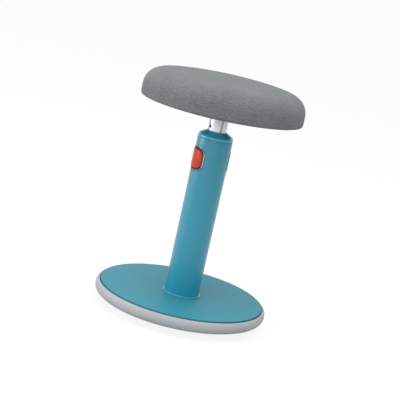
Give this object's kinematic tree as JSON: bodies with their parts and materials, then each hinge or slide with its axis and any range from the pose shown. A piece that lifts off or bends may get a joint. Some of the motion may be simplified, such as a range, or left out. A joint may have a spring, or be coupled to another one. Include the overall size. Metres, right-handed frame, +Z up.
{
  "type": "wobble stool",
  "caption": "Round wobble stool with a domed rubber foot under a weighted plate, a column with a push-button height latch, a grooved sliding tube and a swivelling cushion.",
  "frame": {"origin": "on the floor, at the middle of the foot's flat underside", "axes": "+Z up along the column; -Y towards the viewer of the picture, with +X to the viewer's right; the release button faces 24.5 degrees to the -Y side of -X"},
  "size_m": [0.37, 0.37, 0.5114],
  "materials": {
    "foot_rubber": "matte",
    "bumper_rubber": "matte",
    "teal_plastic": "satin",
    "red_plastic": "satin",
    "black_plastic": "matte",
    "white_nylon": "satin",
    "satin_aluminium": "satin",
    "ballast_steel": "matte",
    "bracket_steel": "satin",
    "zinc_steel": "satin",
    "grey_fabric": "matte",
    "seat_foam": "matte",
    "birch_ply": "matte"
  },
  "bodies": {
    "root": {"rubber_foot": "foot_rubber", "ballast_disc": "ballast_steel", "base_plate": "teal_plastic", "base_screw_1": "zinc_steel", "base_screw_2": "zinc_steel", "base_screw_3": "zinc_steel", "base_screw_4": "zinc_steel", "base_screw_5": "zinc_steel", "base_screw_6": "zinc_steel", "column_washer": "zinc_steel", "column_bolt": "zinc_steel", "column_plug": "satin_aluminium", "foot_collar": "teal_plastic", "outer_column": "teal_plastic", "stop_bumper": "bumper_rubber", "latch_housing": "black_plastic", "button_bezel": "black_plastic", "latch_cover": "teal_plastic", "column_cap": "teal_plastic", "upper_guide": "white_nylon", "return_spring": "zinc_steel"},
    "lift": {"inner_tube": "satin_aluminium", "lower_guide": "white_nylon", "guide_pin": "zinc_steel", "swivel_spindle": "satin_aluminium", "thrust_washer": "white_nylon", "spindle_washer": "zinc_steel", "spindle_nut": "zinc_steel"},
    "seat": {"swivel_hub": "satin_aluminium", "seat_bracket": "bracket_steel", "bracket_screw_1": "zinc_steel", "bracket_screw_2": "zinc_steel", "bracket_screw_3": "zinc_steel", "bracket_screw_4": "zinc_steel", "seat_pan": "birch_ply", "seat_foam": "seat_foam", "seat_cover": "grey_fabric", "under_cover": "black_plastic", "under_cover_screw_1": "zinc_steel", "under_cover_screw_2": "zinc_steel", "under_cover_screw_3": "zinc_steel", "under_cover_screw_4": "zinc_steel"},
    "release": {"release_button": "red_plastic", "release_yoke": "white_nylon"}
  },
  "joints": [
    {"name": "seat_height", "type": "slide", "parent": "root", "child": "lift", "axis": [0, 0, 1], "range_m": [0, 0.188]},
    {"name": "seat_swivel", "type": "hinge", "parent": "lift", "child": "seat", "pos_m": [0, 0, 0.44], "axis": [0, 0, 1], "continuous": true},
    {"name": "button_press", "type": "slide", "parent": "root", "child": "release", "axis": [0.91, 0.4147, 0], "range_m": [0, 0.0045], "stiffness_N_per_m": 3000, "deforming": ["return_spring"]}
  ]
}
